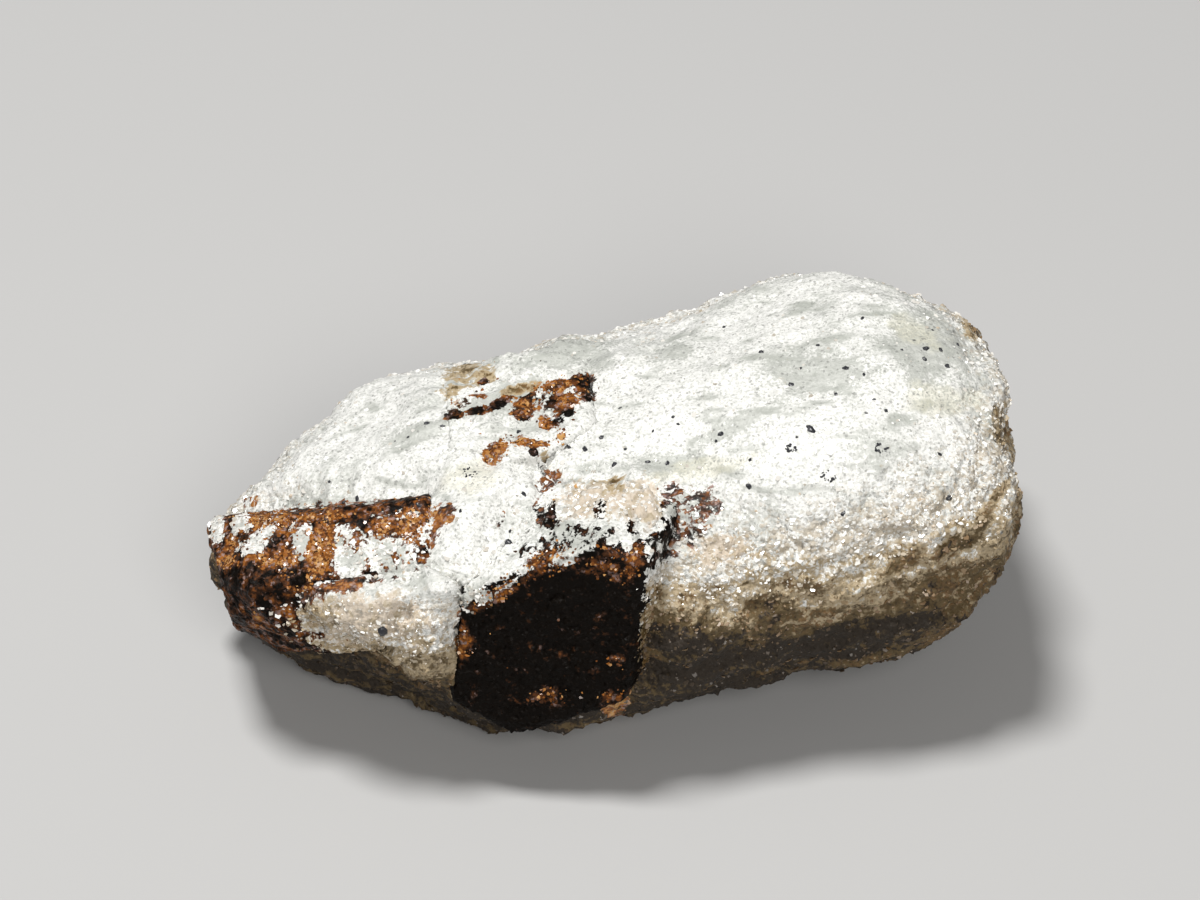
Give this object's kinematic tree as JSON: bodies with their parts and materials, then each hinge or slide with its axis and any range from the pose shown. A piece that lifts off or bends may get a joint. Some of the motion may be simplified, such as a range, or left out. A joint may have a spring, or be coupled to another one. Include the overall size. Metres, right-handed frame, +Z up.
{
  "type": "staurolite crystal specimen",
  "caption": "Small natural hand specimen: dark brown staurolite prisms grown in a pale silvery mica schist stone with a flat underside.",
  "frame": {"origin": "on the flat underside that the stone lies on, near its middle, at the mount rest_face", "axes": "+Z up, +X along the stone's length towards its bigger lobe, -Y towards the broken end of the largest crystal"},
  "size_m": [0.0277, 0.0177, 0.0118],
  "materials": {
    "mica_schist": "pale grey to white fine-grained mica schist, sparkling, with dark specks and beige to olive tints low on the front",
    "staurolite": "near-black to orange-brown, dull to glassy, with patches of silvery mica"
  },
  "bodies": {
    "root": {"schist": "mica_schist", "staurolite_front": "staurolite", "staurolite_left": "staurolite", "staurolite_top": "staurolite"}
  },
  "joints": []
}
